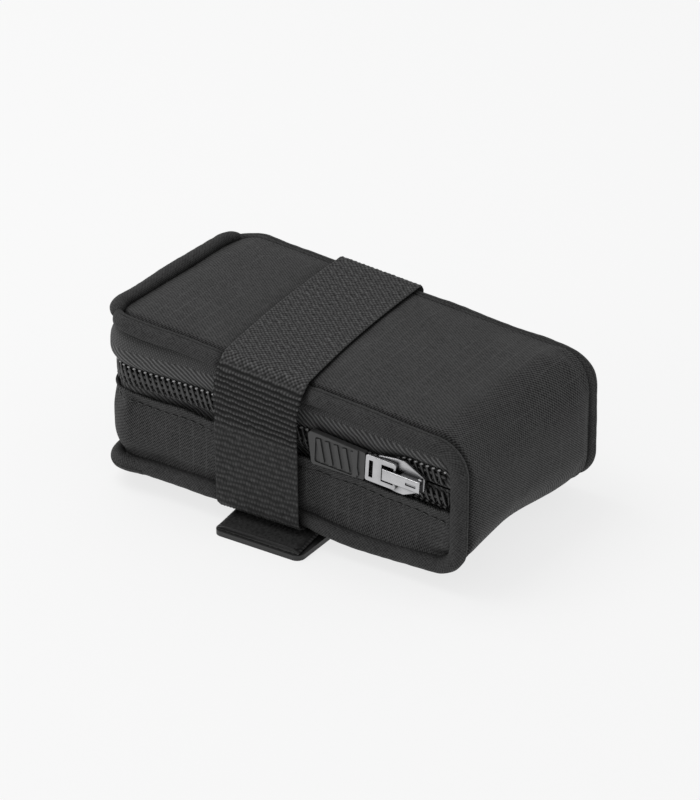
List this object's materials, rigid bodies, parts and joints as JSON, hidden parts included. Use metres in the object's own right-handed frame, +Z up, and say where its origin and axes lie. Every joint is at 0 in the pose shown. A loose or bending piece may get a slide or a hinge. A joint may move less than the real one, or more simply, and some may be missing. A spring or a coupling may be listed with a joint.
{
  "type": "saddle bag",
  "caption": "Wedge-shaped fabric bag for tools and a spare tube, zipped round three sides and held under a bicycle saddle by a hook-and-loop strap.",
  "frame": {"origin": "centre of the bag's plan, on the underside of the strap that the bag stands on", "axes": "+X towards the plain front end, +Z up, -Y the side with the zip slider"},
  "size_m": [0.145, 0.0943, 0.0662],
  "materials": {
    "shell_fabric": "matte twill with a faint ripstop grid",
    "roll_fabric": "matte twill wrapped over a cord",
    "filler_cord": "matte",
    "foam": "open foam",
    "lining_fabric": "plain weave",
    "zip_tape": "herringbone tape",
    "zip_coil": "satin nylon",
    "slider_metal": "satin nickel plate",
    "rubber": "smooth matte",
    "rubber_tab": "matte with ribs",
    "webbing": "basket-weave webbing",
    "hook_loop": "hook and loop pile"
  },
  "bodies": {
    "bag": {"roll_near": "roll_fabric", "roll_cord_near": "filler_cord", "roll_far": "roll_fabric", "roll_cord_far": "filler_cord", "roll_rear_top": "roll_fabric", "roll_cord_rear_top": "filler_cord", "roll_rear_bottom": "roll_fabric", "roll_cord_rear_bottom": "filler_cord", "main_panel": "shell_fabric", "main_foam": "foam", "lining": "lining_fabric", "side_panel": "shell_fabric", "side_foam": "foam", "zip_tape_upper": "zip_tape", "zip_tape_lower": "zip_tape", "zip_coil_upper": "zip_coil", "zip_coil_lower": "zip_coil", "zip_bottom_stop": "zip_coil", "strap_over": "webbing", "loop_patch": "hook_loop"},
    "slider": {"slider_body": "slider_metal", "slider_bridge": "slider_metal", "slider_lock_pin": "slider_metal"},
    "puller": {"puller_link": "slider_metal", "pull_tab": "rubber_tab"},
    "strap_leg": {"strap_far": "webbing"},
    "strap_tongue": {"strap_end": "webbing", "hook_patch": "hook_loop", "end_plate": "rubber"}
  },
  "joints": [
    {"name": "zipper_slide", "type": "slide", "parent": "bag", "child": "slider", "axis": [0.9978, 0, -0.0659], "range_m": [-0.097, 0.006]},
    {"name": "puller_swing", "type": "hinge", "parent": "slider", "child": "puller", "pos_m": [0.0464, -0.04015, 0.03624], "axis": [0.0659, 0, 0.9978], "range_deg": [0, 140]},
    {"name": "strap_leg_swing", "type": "hinge", "parent": "bag", "child": "strap_leg", "pos_m": [-0.011, 0.0435, 0.06251], "axis": [0.996, 0, -0.0896], "range_deg": [0, 90]},
    {"name": "strap_peel", "type": "hinge", "parent": "strap_leg", "child": "strap_tongue", "pos_m": [-0.012, 0.0435, 0], "axis": [1, 0, 0], "range_deg": [0, 90]}
  ]
}
